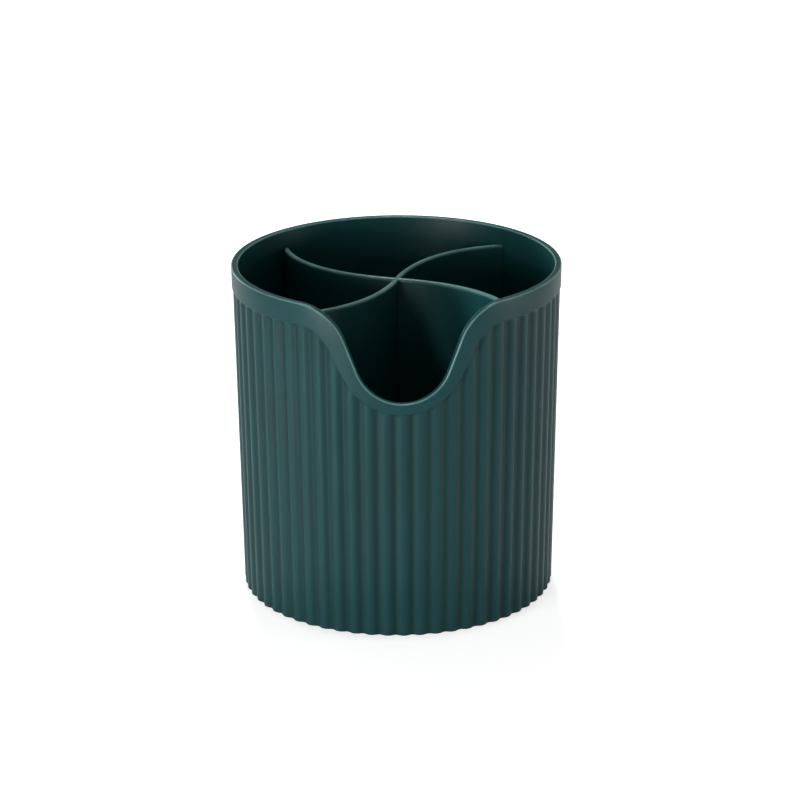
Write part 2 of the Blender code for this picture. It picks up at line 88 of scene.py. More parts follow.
RIM_RADIUS = CUP_HIGH.x
RIM_HEIGHT = CUP_HIGH.z
SKIRT_LIFT = CUP_LOW.z
FLOOR_TOP = DIVIDER_LOW.z - TOUCH_GAP
BALL_RADIUS = (BALL_HIGH.z - BALL_LOW.z) / 2
BALL_HEIGHT = (BALL_HIGH.z + BALL_LOW.z) / 2
BEARING_RADIUS = (BALL_HIGH.x + BALL_LOW.x) / 2
RACE_RADIUS = BALL_RADIUS + TOUCH_GAP
PILOT_TOP = SCREW_HIGH.z + TOUCH_GAP
SPIGOT_END = WASHER_HIGH.z + TOUCH_GAP
WEB_BOTTOM = SPIGOT_END + TOUCH_GAP
BASE_RADIUS = BASE_HIGH.x
BASE_BOTTOM = BASE_LOW.z
PAD_RADIUS = (PAD_HIGH.x - PAD_LOW.x) / 2
PAD_THICKNESS = PAD_HIGH.z

# How finely the meshes are divided
COLUMNS_PER_FLUTE = 12
SCOOP_STEPS = 48
EDGE_STEPS = 6
RUN_OUT_STEPS = 10
WALL_STEPS = 4
CORNER_STEPS = 4
RACE_STEPS = 14
TURN_STEPS = 144
SMALL_TURN_STEPS = 64
BLADE_STEPS = 48
BLADE_EDGE_STEPS = 4
BALL_SEGMENTS = 32
BALL_RINGS = 16
THREAD_STEPS = 8
CORNER_REACH_SHARE = 0.46
PLAIN_CORNER = math.radians(155)
SHARP_ANGLE = math.radians(40)


# Settings that a user would change

def length(name, description, default):
    return FloatProperty(name=name, description=description, default=default, min=0.0,
                         unit='LENGTH', precision=5)


def angle(name, description, degrees):
    return FloatProperty(name=name, description=description, default=math.radians(degrees),
                         subtype='ANGLE', unit='ROTATION')


def share(name, description, default):
    return FloatProperty(name=name, description=description, default=default, subtype='FACTOR')


def colour(name, description, default):
    return FloatVectorProperty(name=name, description=description, default=default, size=3,
                               min=0.0, max=1.0, subtype='COLOR')


class CupSizes(PropertyGroup):
    rim_wall: length("Rim wall", "Thickness of the cup's wall at the rim", 0.0025)
    edge_radius: length("Rim rounding", "Radius of the rim's two edges", 0.0006)
    foot_radius: length("Foot radius", "Radius over the flutes' crests at the foot", 0.05764)
    foot_round: length("Foot rounding", "Radius of the foot's edges", 0.0004)
    flutes: IntProperty(name="Flutes", description="Number of flutes round the cup", default=60, min=12)
    flute_depth: length("Flute depth", "Depth of the valleys between the flutes", 0.0009)
    crest_fullness: FloatProperty(name="Crest fullness", default=1.35, min=1.0,
                                  description="1 gives an even wave, and more gives narrower valleys")
    flute_run_out: length("Flute run out", "Length over which a valley dies out", 0.0014)
    band_proud: length("Band proud", "How far the rim band stands out from the crests", 0.00035)
    band_fillet: length("Band edge", "Width of the rounding under the rim band", 0.00045)
    band_height: length("Band height", "Height of the smooth band along the rim", 0.0080)
    band_under_scoop: length("Band under scoop", "Width of the band under the scoop", 0.0039)
    scoop_depth: length("Scoop depth", "Depth of the scoop in the front of the rim", 0.0340)
    scoop_bottom_radius: length("Scoop bottom", "Radius of the scoop's bottom", 0.0168)
    scoop_shoulder_radius: length("Scoop shoulder", "Radius of the scoop's shoulders", 0.0180)
    scoop_slope: angle("Scoop slope", "Steepness of the scoop's flanks", 68.8)
    floor_cove: length("Floor cove", "Radius of the cove between floor and wall", 0.0020)
    floor_web: length("Floor web", "Plastic between the upper ball track and the floor", 0.0012)
    key_radius: length("Key ring radius", "Outer radius of the ring that keys the divider", 0.0090)
    key_wall: length("Key ring wall", "Thickness of the key ring", 0.0020)
    key_height: length("Key ring height", "Height of the key ring over the floor", 0.0040)
    gate_radius: length("Gate mark", "Radius of the moulding gate's mark in the floor", 0.0014)


class DividerSizes(PropertyGroup):
    thickness: length("Blade thickness", "Thickness of the divider's blades", 0.0022)
    edge_radius: length("Blade rounding", "Radius of the blades' edges", 0.0010)
    start: angle("Blade start", "Direction of the first blade at the middle", 73.5)
    sweep: angle("Blade sweep", "Turn of a blade from the middle to the wall", 29.3)
    even_share: share("Even sweep", "Part of the sweep that grows evenly outwards", 0.6)
    side_gap: length("Side gap", "Gap between the blades' ends and the wall", 0.0003)


class BaseSizes(PropertyGroup):
    race_land: length("Race land", "Width of the land beside a ball track", 0.0019)
    race_depth: length("Race depth", "Depth of the ball tracks", 0.0010)
    plate: length("Plate", "Thickness of the base plate", 0.0028)
    rim_wall: length("Base rim wall", "Thickness of the base's upright rim", 0.0020)
    recess: length("Recess", "Depth of the recess under the plate", 0.0005)
    pad_margin: length("Pad margin", "Plastic left round a pad's pocket", 0.0022)
    pad_pocket: length("Pad pocket", "Depth of the pockets for the pads", 0.0008)
    ribs: IntProperty(name="Ribs", description="Number of ribs between hub and ball track", default=6)
    rib_thickness: length("Rib thickness", "Thickness of the ribs", 0.0016)
    hub_web: length("Hub web", "Thickness of the web that the washer bears on", 0.0025)
    hub_wall: length("Hub wall", "Thickness of the hub round the washer's well", 0.0040)
    corner: length("Corner rounding", "Radius of the base's moulded corners", 0.0005)
    ejector_radius: length("Ejector marks", "Radius of the ejector pins' marks", 0.0022)
    cage_clearance: length("Cage pocket gap", "Gap between a ball and its pocket", 0.0003)


class PivotSizes(PropertyGroup):
    shank_radius: length("Screw shank", "Radius over the screw's thread", 0.0015)
    thread_pitch: length("Thread pitch", "Distance between the thread's turns", 0.0010)
    thread_depth: length("Thread depth", "Depth of the thread", 0.00028)
    head_height: length("Head height", "Height of the screw's head", 0.0016)
    head_crown: length("Head crown", "Rounding of the screw's head", 0.0007)
    point: length("Screw point", "Length of the screw's tapered end", 0.0010)
    drive_length: length("Drive length", "Length of the cross recess", 0.0044)
    drive_width: length("Drive width", "Width of the cross recess", 0.0009)
    drive_depth: length("Drive depth", "Depth of the cross recess", 0.0010)
    spigot_wall: length("Spigot wall", "Plastic round the screw's pilot hole", 0.0024)
    shoulder_width: length("Shoulder width", "Width of the shoulder round the spigot", 0.0038)
    washer_side_gap: length("Washer side gap", "Gap between the washer and its well", 0.0006)


class Finishes(PropertyGroup):
    cup_teal: colour("Cup", "Colour of the cup and the divider", (0.0060, 0.0505, 0.0540))
    # Lighter teal painted on the rim's edges and the blades' tops as a highlight
    painted_highlight_teal: colour("Painted edge highlight", "Lighter colour painted on the edges as a highlight", (0.15, 0.33, 0.30))
    base_teal: colour("Base", "Colour of the base", (0.0075, 0.0400, 0.0450))
    cage_nylon: colour("Cage", "Colour of the ball cage", (0.62, 0.61, 0.57))
    pad_rubber: colour("Pads", "Colour of the rubber pads", (0.018, 0.018, 0.019))
    ball_steel: colour("Balls", "Colour of the steel balls", (0.60, 0.60, 0.61))
    zinc: colour("Zinc", "Colour of the plated washer and screw", (0.62, 0.63, 0.62))
    satin: share("Satin", "Roughness of the cup's satin moulding", 0.37)
    gloss: share("Specular level", "Strength of the plastic's mirror reflection", 0.25)


class StudioSettings(PropertyGroup):
    camera_distance: length("Camera distance", "Distance from the camera to its target", 1.0635)
    camera_pitch: angle("Camera pitch", "How far the camera looks down", 19.835)
    camera_roll: angle("Camera roll", "Tilt of the camera about its axis", -0.334)
    camera_turn: angle("Camera turn", "How far the camera stands to the left of the scoop", -2.1)
    target_height: length("Target height", "Height of the point the camera looks at", 0.07127)
    target_side: length("Target side", "How far that point lies to the right", 0.00104)
    lens: FloatProperty(name="Lens", description="Focal length in millimetres", default=129.6)
    floor_radius: length("Floor radius", "Radius of the pale floor", 4.0)
    floor_pale: colour("Floor", "Colour of the floor", (0.88, 0.88, 0.88))
    floor_lift: share("Floor lift", "Extra white of the floor as the camera sees it", 0.72)
    floor_gloss: share("Floor in gloss", "Extra white of the floor as shiny surfaces show it", 0.14)
    room_walls: share("Walls", "Strength of the light from the room's walls", 0.12)
    room_ceiling: share("Ceiling", "Strength of the light from the room's ceiling", 0.20)
    key_power: FloatProperty(name="Left softbox", description="Power in watts", default=8.7)
    front_power: FloatProperty(name="Front softbox", description="Power in watts", default=2.8)
    fill_power: FloatProperty(name="Right softbox", description="Power in watts", default=3.9)
    back_power: FloatProperty(name="Back softbox", description="Power in watts", default=1.8)
    high_power: FloatProperty(name="High softbox", description="Power in watts", default=7.2)


class HolderSettings(PropertyGroup):
    cup: PointerProperty(type=CupSizes)
    divider: PointerProperty(type=DividerSizes)
    base: PointerProperty(type=BaseSizes)
    pivot: PointerProperty(type=PivotSizes)
    finish: PointerProperty(type=Finishes)
    studio: PointerProperty(type=StudioSettings)


# Node materials

class Wire:
    """A value in a node tree. Python sums with it add Math nodes."""

    def __init__(self, sheet, socket):
        self.sheet = sheet
        self.socket = socket

    def math(self, operation, first, second):
        return self.sheet.node('ShaderNodeMath', {"operation": operation}, {0: first, 1: second})

    def __add__(self, other):
        return self.math('ADD', self, other)

    def __radd__(self, other):
        return self.math('ADD', other, self)

    def __sub__(self, other):
        return self.math('SUBTRACT', self, other)

    def __rsub__(self, other):
        return self.math('SUBTRACT', other, self)

    def __mul__(self, other):
        return self.math('MULTIPLY', self, other)

    def __rmul__(self, other):
        return self.math('MULTIPLY', other, self)

    def __truediv__(self, other):
        return self.math('DIVIDE', self, other)

    def __rtruediv__(self, other):
        return self.math('DIVIDE', other, self)

    def __pow__(self, other):
        return self.math('POWER', self, other)


class NodeSheet:
    """A node tree that is filled through one method."""

    def __init__(self, tree):
        self.tree = tree

    def node(self, kind, settings=None, inputs=None, output=0):
        """Add a node of a type with its settings, then the values or links of its sockets."""
        made = self.tree.nodes.new(kind)
        for name, value in (settings or {}).items():
            if name == "stops":
                self.fill_ramp(made.color_ramp, value)
            else:
                setattr(made, name, value)
        for name, value in (inputs or {}).items():
            self.plug(made.inputs[name], value)
        return Wire(self, made.outputs[output])

    def plug(self, socket, value):
        if isinstance(value, Wire):
            self.tree.links.new(value.socket, socket)
        else:
            socket.default_value = value

    def fill_ramp(self, ramp, stops):
        """Set a ramp's stops, given as (place, grey) pairs."""
        for number, (place, grey) in enumerate(stops):
            stop = ramp.elements[number] if number < 2 else ramp.elements.new(place)
            stop.position = place
            stop.color = (grey, grey, grey, 1)

    def object_place(self, scale=(1, 1, 1)):
        """Object coordinates, stretched by a scale."""
        place = self.node('ShaderNodeTexCoord', output="Object")
        return self.node('ShaderNodeMapping', None, {"Vector": place, "Scale": scale})

    def noise(self, place, scale, detail=2.0, roughness=0.5):
        return self.node('ShaderNodeTexNoise', None, {
            "Vector": place, "Scale": scale, "Detail": detail, "Roughness": roughness})

    def blend(self, factor, first, second):
        """Mix two colours, each a colour or a wire."""
        return self.node('ShaderNodeMix', {"data_type": 'RGBA'},
                         {0: factor, 6: first, 7: second}, output=2)

    def ramp(self, factor, low, high):
        """A smooth step from 0 at low to 1 at high."""
        return self.node('ShaderNodeMapRange', {"interpolation_type": 'SMOOTHSTEP'},
                         {"Value": factor, "From Min": low, "From Max": high})

    def bump(self, height, distance, strength=1.0):
        return self.node('ShaderNodeBump', None,
                         {"Height": height, "Distance": distance, "Strength": strength})


class Finish(NodeSheet):
    """A material and its Principled shader, whose even values are set on its own sockets."""

    def __init__(self, name, **even):
        self.material = bpy.data.materials.new(name)
        self.material.use_nodes = True
        super().__init__(self.material.node_tree)
        self.shader = self.tree.nodes["Principled BSDF"]
        for socket, value in even.items():
            self.shader.inputs[socket.replace("_", " ").title()].default_value = value

    def feed(self, **varying):
        for socket, value in varying.items():
            self.plug(self.shader.inputs[socket.replace("_", " ").title()], value)
        return self.material


def shade(tone, amount):
    """A colour brightened or darkened by a factor, with its alpha."""
    return tuple(part * amount for part in tone) + (1.0,)


def satin_cup_plastic(look):
    """Satin moulded plastic: sparked grain and faint upright flow lines, with painted shade in the flutes'
    valleys and a painted highlight on the rim's rounded edges, where the roughness is lower too.
    """
    finish = Finish("satin_cup_plastic")
    finish.shader.inputs["Specular IOR Level"].default_value = look.gloss
    place = finish.object_place()
    streaks = finish.noise(finish.object_place((1, 1, 0.06)), 420.0, 2.0)
    cloud = finish.noise(place, 38.0, 3.0)
    grain = finish.noise(place, 5200.0, 2.0, 0.6)
    peel = finish.noise(place, 900.0, 1.0)
    valley = finish.node('ShaderNodeAttribute', {"attribute_name": "valley"}, output="Fac")
    edge = finish.node('ShaderNodeAttribute', {"attribute_name": "edge"}, output="Fac")
    mottle = finish.ramp(cloud * 0.7 + streaks * 0.3, 0.30, 0.70)
    body = finish.blend(mottle, shade(look.cup_teal, 0.93), shade(look.cup_teal, 1.08))
    # Painted shade: the flutes' valleys are blended towards a darker teal, and their roughness is raised a
    # little.
    shaded = finish.blend(valley * 0.60, body, shade(look.cup_teal, 0.40))
    # Painted highlight: the rim's rounded edges are blended towards a lighter teal, and their roughness is
    # lowered.
    with_painted_highlight = finish.blend(edge * (0.5 + mottle * 0.4), shaded, shade(look.painted_highlight_teal, 1.0))
    roughness = look.satin + (cloud - 0.5) * 0.10 + (streaks - 0.5) * 0.06 + valley * 0.04 - edge * 0.12
    height = grain * 0.55 + peel * 0.45
    return finish.feed(base_color=with_painted_highlight, roughness=roughness, normal=finish.bump(height, 0.000016, 0.5))


def divider_plastic(look):
    """The divider's plastic: the cup's colour and upright draw lines, with a painted highlight and a lower
    roughness along the blades' tops.
    """
    finish = Finish("satin_divider_plastic")
    finish.shader.inputs["Specular IOR Level"].default_value = look.gloss
    place = finish.object_place()
    drawn = finish.noise(finish.object_place((1, 1, 0.03)), 700.0, 2.0)
    cloud = finish.noise(place, 46.0, 3.0)
    grain = finish.noise(place, 5600.0, 2.0, 0.6)
    mottle = finish.ramp(cloud, 0.32, 0.68)
    body = finish.blend(mottle, shade(look.cup_teal, 0.94), shade(look.cup_teal, 1.07))
    height_here = finish.node('ShaderNodeSeparateXYZ', None, {0: place}, output="Z")
    # Painted highlight: the blades' tops are blended towards a lighter teal, and their roughness is lowered.
    top_polish_and_highlight = finish.ramp(height_here, DIVIDER_HIGH.z - TOP_HIGHLIGHT_DEPTH, DIVIDER_HIGH.z)
    with_painted_highlight = finish.blend(top_polish_and_highlight * (0.4 + mottle * 0.4), body, shade(look.painted_highlight_teal, 1.0))
    roughness = look.satin + (cloud - 0.5) * 0.09 + (drawn - 0.5) * 0.08 - top_polish_and_highlight * 0.12
    height = grain * 0.5 + drawn * 0.5
    return finish.feed(base_color=with_painted_highlight, roughness=roughness, normal=finish.bump(height, 0.000014, 0.5))


def base_plastic(look):
    """Coarser textured plastic, with a little dust where the base stands near the table."""
    finish = Finish("textured_base_plastic")
    finish.shader.inputs["Specular IOR Level"].default_value = look.gloss
    place = finish.object_place()
    cells = finish.node('ShaderNodeTexVoronoi', {"feature": 'F1'}, {"Vector": place, "Scale": 2300.0})
    cloud = finish.noise(place, 60.0, 4.0)
    dust = finish.ramp(finish.noise(place, 240.0, 5.0, 0.65), 0.56, 0.78)
    body = finish.blend(cloud, shade(look.base_teal, 0.9), shade(look.base_teal, 1.12))
    dusty = finish.blend(dust * 0.16, body, (0.19, 0.20, 0.19, 1))
    roughness = 0.52 + (cloud - 0.5) * 0.12 + dust * 0.10
    return finish.feed(base_color=dusty, roughness=roughness, normal=finish.bump(cells, 0.00003, 0.6))


def rubber(look):
    """Black rubber pads: fine pitting and pale scuffs from the table."""
    finish = Finish("pad_rubber")
    finish.shader.inputs["Specular IOR Level"].default_value = 0.35
    place = finish.object_place()
    pits = finish.noise(place, 3800.0, 3.0, 0.7)
    scuff = finish.ramp(finish.noise(finish.object_place((1, 0.35, 1)), 520.0, 5.0, 0.7), 0.55, 0.80)
    body = finish.blend(scuff * 0.30, shade(look.pad_rubber, 1.0), shade(look.pad_rubber, 5.0))
    return finish.feed(base_color=body, roughness=0.74 + scuff * 0.14,
                       normal=finish.bump(pits, 0.00004, 0.7))


def nylon(look):
    """Natural nylon of the ball cage: milky, with grey grease near the pockets."""
    finish = Finish("cage_nylon")
    finish.shader.inputs["Subsurface Weight"].default_value = 0.15
    finish.shader.inputs["Subsurface Scale"].default_value = 0.001
    place = finish.object_place()
    cloud = finish.noise(place, 210.0, 3.0)
    grease = finish.ramp(finish.noise(place, 420.0, 4.0, 0.6), 0.52, 0.75)
    body = finish.blend(cloud, shade(look.cage_nylon, 0.93), shade(look.cage_nylon, 1.04))
    greased = finish.blend(grease * 0.35, body, (0.30, 0.29, 0.25, 1))
    return finish.feed(base_color=greased, roughness=0.46 - grease * 0.18 + (cloud - 0.5) * 0.08,
                       normal=finish.bump(cloud, 0.00002, 0.4))


def polished_steel(look):
    """Ground steel balls with a thin film of grease."""
    finish = Finish("polished_steel", metallic=1.0)
    place = finish.object_place()
    scratches = finish.noise(finish.object_place((1, 1, 14)), 620.0, 3.0)
    film = finish.ramp(finish.noise(place, 330.0, 3.0), 0.45, 0.70)
    body = finish.blend(film * 0.5, shade(look.ball_steel, 1.05), shade(look.ball_steel, 0.82))
    return finish.feed(base_color=body, roughness=0.10 + film * 0.14 + (scratches - 0.5) * 0.05,
                       normal=finish.bump(scratches, 0.000004, 0.3))


def zinc_plate(look, name, ring_scale):
    """Zinc plating: turning marks in rings, a clear blue tint and dull spots."""
    finish = Finish(name, metallic=1.0)
    place = finish.object_place()
    flat = finish.object_place((1, 1, 0))
    radius = finish.node('ShaderNodeVectorMath', {"operation": 'LENGTH'}, {0: flat}, output="Value")
    rings = finish.node('ShaderNodeTexNoise', {"noise_dimensions": '1D'},
                        {"W": radius * ring_scale, "Scale": 1.0, "Detail": 4.0})
    spots = finish.ramp(finish.noise(place, 900.0, 4.0, 0.6), 0.50, 0.74)
    tint = finish.blend(finish.noise(place, 260.0, 2.0), shade(look.zinc, 1.0), (0.55, 0.60, 0.66, 1))
    body = finish.blend(spots * 0.5, tint, shade(look.zinc, 0.66))
    return finish.feed(base_color=body, roughness=0.27 + spots * 0.20 + (rings - 0.5) * 0.10,
                       normal=finish.bump(rings * 0.7 + spots * 0.3, 0.000012, 0.5))


# Modelling helpers

def softened(corners, steps=CORNER_STEPS, closed=False):
    """A line of (radius, height) points from (radius, height, rounding) corners."""
    line = []
    for number, (radius, height, rounding) in enumerate(corners):
        here = Vector((radius, height))
        following = corners[(number + 1) % len(corners)]
        back = Vector(corners[number - 1][:2]) - here
        onward = Vector(following[:2]) - here
        is_end = not closed and number in (0, len(corners) - 1)
        if is_end or rounding == 0 or back.angle(onward) > PLAIN_CORNER:
            line.append((radius, height))
            continue
        half = back.angle(onward) / 2
        reach = min(rounding / math.tan(half), CORNER_REACH_SHARE * min(back.length, onward.length))
        bisector = (back.normalized() + onward.normalized()).normalized()
        centre = here + bisector * reach / math.cos(half)
        start = here + back.normalized() * reach - centre
        stop = here + onward.normalized() * reach - centre
        turn = start.angle_signed(stop)
        for step in range(steps + 1):
            spoke = Matrix.Rotation(-turn * step / steps, 2) @ start
            line.append(tuple(centre + spoke))
    return line


def arc(centre, radius, start, stop, steps):
    """Points along an arc, as corners that need no rounding."""
    turns = [start + (stop - start) * step / steps for step in range(steps + 1)]
    return [(centre[0] + radius * math.cos(turn), centre[1] + radius * math.sin(turn), 0)
            for turn in turns]


def spun(outline, steps, closed=False):
    """A bmesh of an outline of (radius, height) points, spun round the upright axis."""
    bm = bmesh.new()
    points = [bm.verts.new((radius, 0, height)) for radius, height in outline]
    line = [bm.edges.new(pair) for pair in zip(points, points[1:])]
    if closed:
        line.append(bm.edges.new((points[-1], points[0])))
    bmesh.ops.spin(bm, geom=points + line, axis=UP, cent=ORIGIN, angle=2 * math.pi, steps=steps,
                   use_merge=True)
    close_up(bm)
    return bm


def close_up(bm):
    """Merge the poles and point the faces outwards."""
    bmesh.ops.remove_doubles(bm, verts=bm.verts, dist=MERGE_DISTANCE)
    bmesh.ops.recalc_face_normals(bm, faces=bm.faces)


def add_block(bm, size, centre, turn=0.0, rounding=0.0):
    """Add a box to a bmesh, turned about the upright axis after it is placed."""
    made = bmesh.ops.create_cube(bm, size=1.0)["verts"]
    bmesh.ops.scale(bm, vec=size, verts=made)
    bmesh.ops.translate(bm, vec=centre, verts=made)
    bmesh.ops.rotate(bm, matrix=Matrix.Rotation(turn, 3, 'Z'), verts=made)
    if rounding:
        edges = list({edge for vert in made for edge in vert.link_edges})
        bmesh.ops.bevel(bm, geom=edges, offset=rounding, affect='EDGES', segments=3, profile=0.5,
                        material=-1)


def add_drum(bm, radius, bottom, top, place, steps):
    """Add an upright cylinder to a bmesh, closed at both ends."""
    made = bmesh.ops.create_cone(bm, cap_ends=True, segments=steps, radius1=radius, radius2=radius,
                                 depth=top - bottom)["verts"]
    bmesh.ops.translate(bm, vec=(place[0], place[1], (top + bottom) / 2), verts=made)


def object_from(bm, name):
    mesh = bpy.data.meshes.new(name)
    bm.to_mesh(mesh)
    bm.free()
    made = bpy.data.objects.new(name, mesh)
    bpy.context.scene.collection.objects.link(made)
    return made


def settle(made):
    """Keep the shape that an object's modifiers give as its own mesh."""
    bpy.context.view_layer.update()
    graph = bpy.context.evaluated_depsgraph_get()
    mesh = bpy.data.meshes.new_from_object(made.evaluated_get(graph))
    made.modifiers.clear()
    made.data = mesh


def combine(made, tool, operation):
    """Join, cut or trim an object with another one, which is then removed."""
    step = made.modifiers.new("combine", 'BOOLEAN')
    step.operation = operation
    step.solver = 'EXACT'
    step.object = tool
    settle(made)
    bpy.data.objects.remove(tool)


def complete(made, finish, body, slot, *nodes):
    """Shade a piece, give it its finish and set it in its nodes' place on its body."""
    mesh = made.data
    mesh.name = made.name
    mesh.materials.clear()
    mesh.materials.append(finish)
    mesh.shade_smooth()
    mesh.set_sharp_from_angle(angle=SHARP_ANGLE)
    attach(made, body)
    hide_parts(*nodes)


def finish_for(name, maker, *details):
    """A finish by name, made the first time it is asked for."""
    return bpy.data.materials.get(name) or maker(*details)


# Shape of the cup

class UnrolledLine:
    """A line on the unrolled wall, as heights at distances from the scoop's middle."""

    def __init__(self, points):
        self.across = [point[0] for point in points]
        self.heights = [point[1] for point in points]

    def height(self, across):
        after = bisect.bisect_right(self.across, across)
        if after == 0 or after == len(self.across):
            return self.heights[max(after - 1, 0)]
        near, far = self.across[after - 1], self.across[after]
        part = (across - near) / (far - near)
        return self.heights[after - 1] + (self.heights[after] - self.heights[after - 1]) * part


class CupShape:
    """The cup's surface: for each angle round it, one closed section of placed rows."""

    def __init__(self, size, blades, base, pivot):
        self.size = size
        self.blades = blades
        self.inner_rim = RIM_RADIUS - size.rim_wall
        self.taper = (RIM_RADIUS - size.band_proud - size.foot_radius) / (RIM_HEIGHT - SKIRT_LIFT)
        quarter = [math.pi / 2 * step / EDGE_STEPS for step in range(EDGE_STEPS + 1)]
        # The third value peaks half-way round a rounded edge and places the edge's painted highlight and
        # lower roughness.
        self.roll = [(1 - math.sin(turn), 1 - math.cos(turn), math.sin(2 * turn)) for turn in quarter]
        self.roll_lines = [self.set_off(drop * size.edge_radius, drop * size.edge_radius)
                           for drop, _, _ in self.roll]
        self.band_end = self.set_off(size.band_under_scoop - size.band_fillet,
                                     size.band_height - size.band_fillet)
        self.run_out = [(step / RUN_OUT_STEPS) ** 2 for step in range(RUN_OUT_STEPS + 1)]
        self.run_out_lines = [self.set_off(size.band_under_scoop + part * size.flute_run_out,
                                           size.band_height + part * size.flute_run_out)
                              for part in self.run_out]
        self.floor_rows = self.floor_section()
        self.under_rows = self.under_section(base, pivot)

    def outer(self, height):
        return RIM_RADIUS - self.taper * (RIM_HEIGHT - height)

    def inner(self, height):
        return self.outer(height) - self.size.rim_wall

    def scoop_edge(self):
        """Half the scoop's edge on the unrolled wall, as (across, height, lean) points."""
        size = self.size
        slope = size.scoop_slope
        bottom = RIM_HEIGHT - size.scoop_depth
        shoulder_foot = RIM_HEIGHT - size.scoop_shoulder_radius * (1 - math.cos(slope))
        leans = [slope * step / SCOOP_STEPS for step in range(SCOOP_STEPS + 1)]
        edge = [(size.scoop_bottom_radius * math.sin(lean),
                 bottom + size.scoop_bottom_radius * (1 - math.cos(lean)), lean) for lean in leans]
        start, foot, _ = edge[-1]
        flank_end = start + (shoulder_foot - foot) / math.tan(slope)
        for lean in reversed(leans):
            across = flank_end + size.scoop_shoulder_radius * (math.sin(slope) - math.sin(lean))
            height = shoulder_foot + size.scoop_shoulder_radius * (math.cos(lean) - math.cos(slope))
            edge.append((across, height, lean))
        return edge

    def set_off(self, near, far):
        """A line at a distance below the rim's edge: near under the scoop, far along the rim."""
        points = []
        for across, height, lean in self.scoop_edge():
            risen = 1 - (RIM_HEIGHT - height) / self.size.scoop_depth
            width = near + (far - near) * risen
            points.append((across + width * math.sin(lean), height - width * math.cos(lean)))
        return UnrolledLine(points)

    def valley(self, turn):
        """How far into its valley the flute pattern is at an angle: 0 on a crest, 1 in a valley."""
        return ((1 - math.cos(turn * self.size.flutes)) / 2) ** self.size.crest_fullness

    def floor_section(self):
        """Rows of the floor and its key ring, from the middle outwards and up the cove."""
        size = self.size
        draft = TOUCH_GAP / 2
        key_inner = size.key_radius - size.key_wall
        key_top = FLOOR_TOP + size.key_height
        gate_floor = FLOOR_TOP - TOUCH_GAP
        wall_start = FLOOR_TOP + 3 * size.floor_cove
        middle = softened([
            (0, gate_floor, 0),
            (size.gate_radius, gate_floor, draft),
            (size.gate_radius + draft, FLOOR_TOP, draft),
            ((size.gate_radius + key_inner) / 2, FLOOR_TOP, 0),
        ])
        ring = softened([
            (key_inner - draft, FLOOR_TOP, 0),
            (key_inner, key_top, TOUCH_GAP),
            (size.key_radius, key_top, TOUCH_GAP),
            (size.key_radius + draft, FLOOR_TOP, 0),
        ])
        cove = softened([
            (size.key_radius + 2 * size.key_wall, FLOOR_TOP, 0),
            (self.inner(FLOOR_TOP), FLOOR_TOP, size.floor_cove),
            (self.inner(wall_start), wall_start, 0),
        ], steps=2 * CORNER_STEPS)
        return ([(point, False) for point in middle] + [(point, True) for point in ring]
                + [(point, False) for point in cove])

    def under_section(self, base, pivot):
        """Rows from the skirt's foot up inside it, over the ball track and into the pivot."""
        size = self.size
        track_roof = BALL_HEIGHT + RACE_RADIUS
        track_face = track_roof - base.race_depth
        floor_bottom = track_roof + size.floor_web
        half_width = track_half_width(base)
        dip = math.asin((track_face - BALL_HEIGHT) / RACE_RADIUS)
        pilot = pivot.shank_radius + TOUCH_GAP
        spigot = pilot + pivot.spigot_wall
        shoulder = spigot + pivot.shoulder_width
        shoulder_foot = WEB_BOTTOM + base.hub_web + TOUCH_GAP
        fine = TOUCH_GAP
        corners = [
            (self.inner(SKIRT_LIFT) + size.rim_wall / 3, SKIRT_LIFT, 0),
            (self.inner(SKIRT_LIFT), SKIRT_LIFT, size.foot_round),
            (self.inner(floor_bottom), floor_bottom, size.floor_cove / 2),
            (BEARING_RADIUS + half_width, floor_bottom, base.corner),
            (BEARING_RADIUS + half_width, track_face, fine),
        ]
        corners += arc((BEARING_RADIUS, BALL_HEIGHT), RACE_RADIUS, dip, math.pi - dip, RACE_STEPS)
        corners += [
            (BEARING_RADIUS - half_width, track_face, fine),
            (BEARING_RADIUS - half_width, floor_bottom, base.corner),
            (shoulder, floor_bottom, base.corner),
            (shoulder, shoulder_foot, fine),
            (spigot, shoulder_foot, fine),
            (spigot, SPIGOT_END, fine),
            (pilot, SPIGOT_END, fine),
            (pilot, PILOT_TOP, fine),
            (0, PILOT_TOP, 0),
        ]
        return softened(corners)

    def blade_direction(self, radius):
        """Angle, counted from the front, at which the first blade crosses a radius."""
        reach = radius / self.inner_rim
        even = self.blades.even_share
        return self.blades.start - self.blades.sweep * (even * reach + (1 - even) * reach ** 2)

    def in_key_slot(self, turn):
        half = math.asin((self.blades.thickness / 2 + self.blades.side_gap) / self.size.key_radius)
        return abs(self.past_blade(turn)) < half

    def past_blade(self, turn):
        """Angle from the nearest blade to a direction, at the key ring."""
        return math.remainder(turn - self.blade_direction(self.size.key_radius), math.pi / 2)

    def key_turn(self, turn, radius):
        """An angle moved so that the slots' sides run parallel to the blade in them."""
        past = self.past_blade(turn)
        half_slot = self.blades.thickness / 2 + self.blades.side_gap
        named = math.asin(half_slot / self.size.key_radius)
        wanted = math.asin(half_slot / radius)
        quarter = math.pi / 4
        if abs(past) < named:
            moved = past * wanted / named
        else:
            beyond = (abs(past) - named) / (quarter - named)
            moved = math.copysign(wanted + (quarter - wanted) * beyond, past)
        drift = self.blade_direction(radius) - self.blade_direction(self.size.key_radius)
        return turn - past + moved + drift

